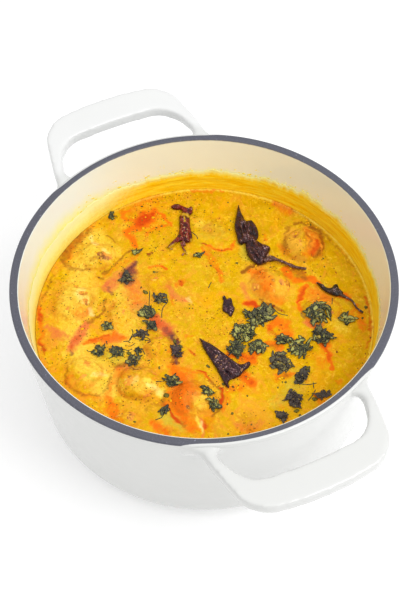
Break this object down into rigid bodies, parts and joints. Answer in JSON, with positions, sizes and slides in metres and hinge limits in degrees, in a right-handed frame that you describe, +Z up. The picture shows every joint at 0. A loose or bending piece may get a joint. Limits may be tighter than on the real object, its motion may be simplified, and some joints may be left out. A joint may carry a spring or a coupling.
{
  "type": "kadhi pakora in a pot",
  "caption": "Round enamelled cooking pot with two flat loop handles, half full of yellow yogurt curry with fritters, dried red chillies and coriander leaf.",
  "frame": {"origin": "centre of the pot's flat base, on the surface that it stands on", "axes": "+Z up along the pot's axis, +X along one loop handle and -X along the other"},
  "size_m": [0.3432, 0.25, 0.1193],
  "materials": {
    "enamel": "glossy white vitreous enamel, cream inside, with a matt dark grey rim",
    "curry": "wet turmeric yellow sauce with streaks of red oil",
    "fritter": "fried gram-flour crust, part coated in sauce",
    "chilli": "dark, wrinkled, oiled dried pod",
    "leaf": "wilted chopped coriander"
  },
  "bodies": {
    "root": {"pot": "enamel", "curry": "curry", "pakora_01": "fritter", "pakora_02": "fritter", "pakora_03": "fritter", "pakora_04": "fritter", "pakora_05": "fritter", "pakora_06": "fritter", "pakora_07": "fritter", "pakora_08": "fritter", "pakora_09": "fritter", "pakora_10": "fritter", "pakora_11": "fritter", "pakora_12": "fritter", "pakora_13": "fritter", "pakora_14": "fritter", "pakora_15": "fritter", "chilli_back": "chilli", "chilli_front": "chilli", "chilli_left": "chilli", "chilli_right": "chilli", "chilli_flake": "chilli", "coriander_01": "leaf", "coriander_02": "leaf", "coriander_03": "leaf", "coriander_04": "leaf", "coriander_05": "leaf", "coriander_06": "leaf", "coriander_07": "leaf", "coriander_08": "leaf", "coriander_09": "leaf", "coriander_10": "leaf", "coriander_11": "leaf", "coriander_12": "leaf", "coriander_13": "leaf", "coriander_14": "leaf", "coriander_15": "leaf", "coriander_16": "leaf", "coriander_17": "leaf", "coriander_18": "leaf", "coriander_19": "leaf", "coriander_20": "leaf", "coriander_21": "leaf", "coriander_22": "leaf", "coriander_23": "leaf", "coriander_24": "leaf", "coriander_25": "leaf", "coriander_26": "leaf", "coriander_27": "leaf", "coriander_28": "leaf", "coriander_29": "leaf", "coriander_30": "leaf", "coriander_31": "leaf", "coriander_32": "leaf"}
  },
  "joints": []
}
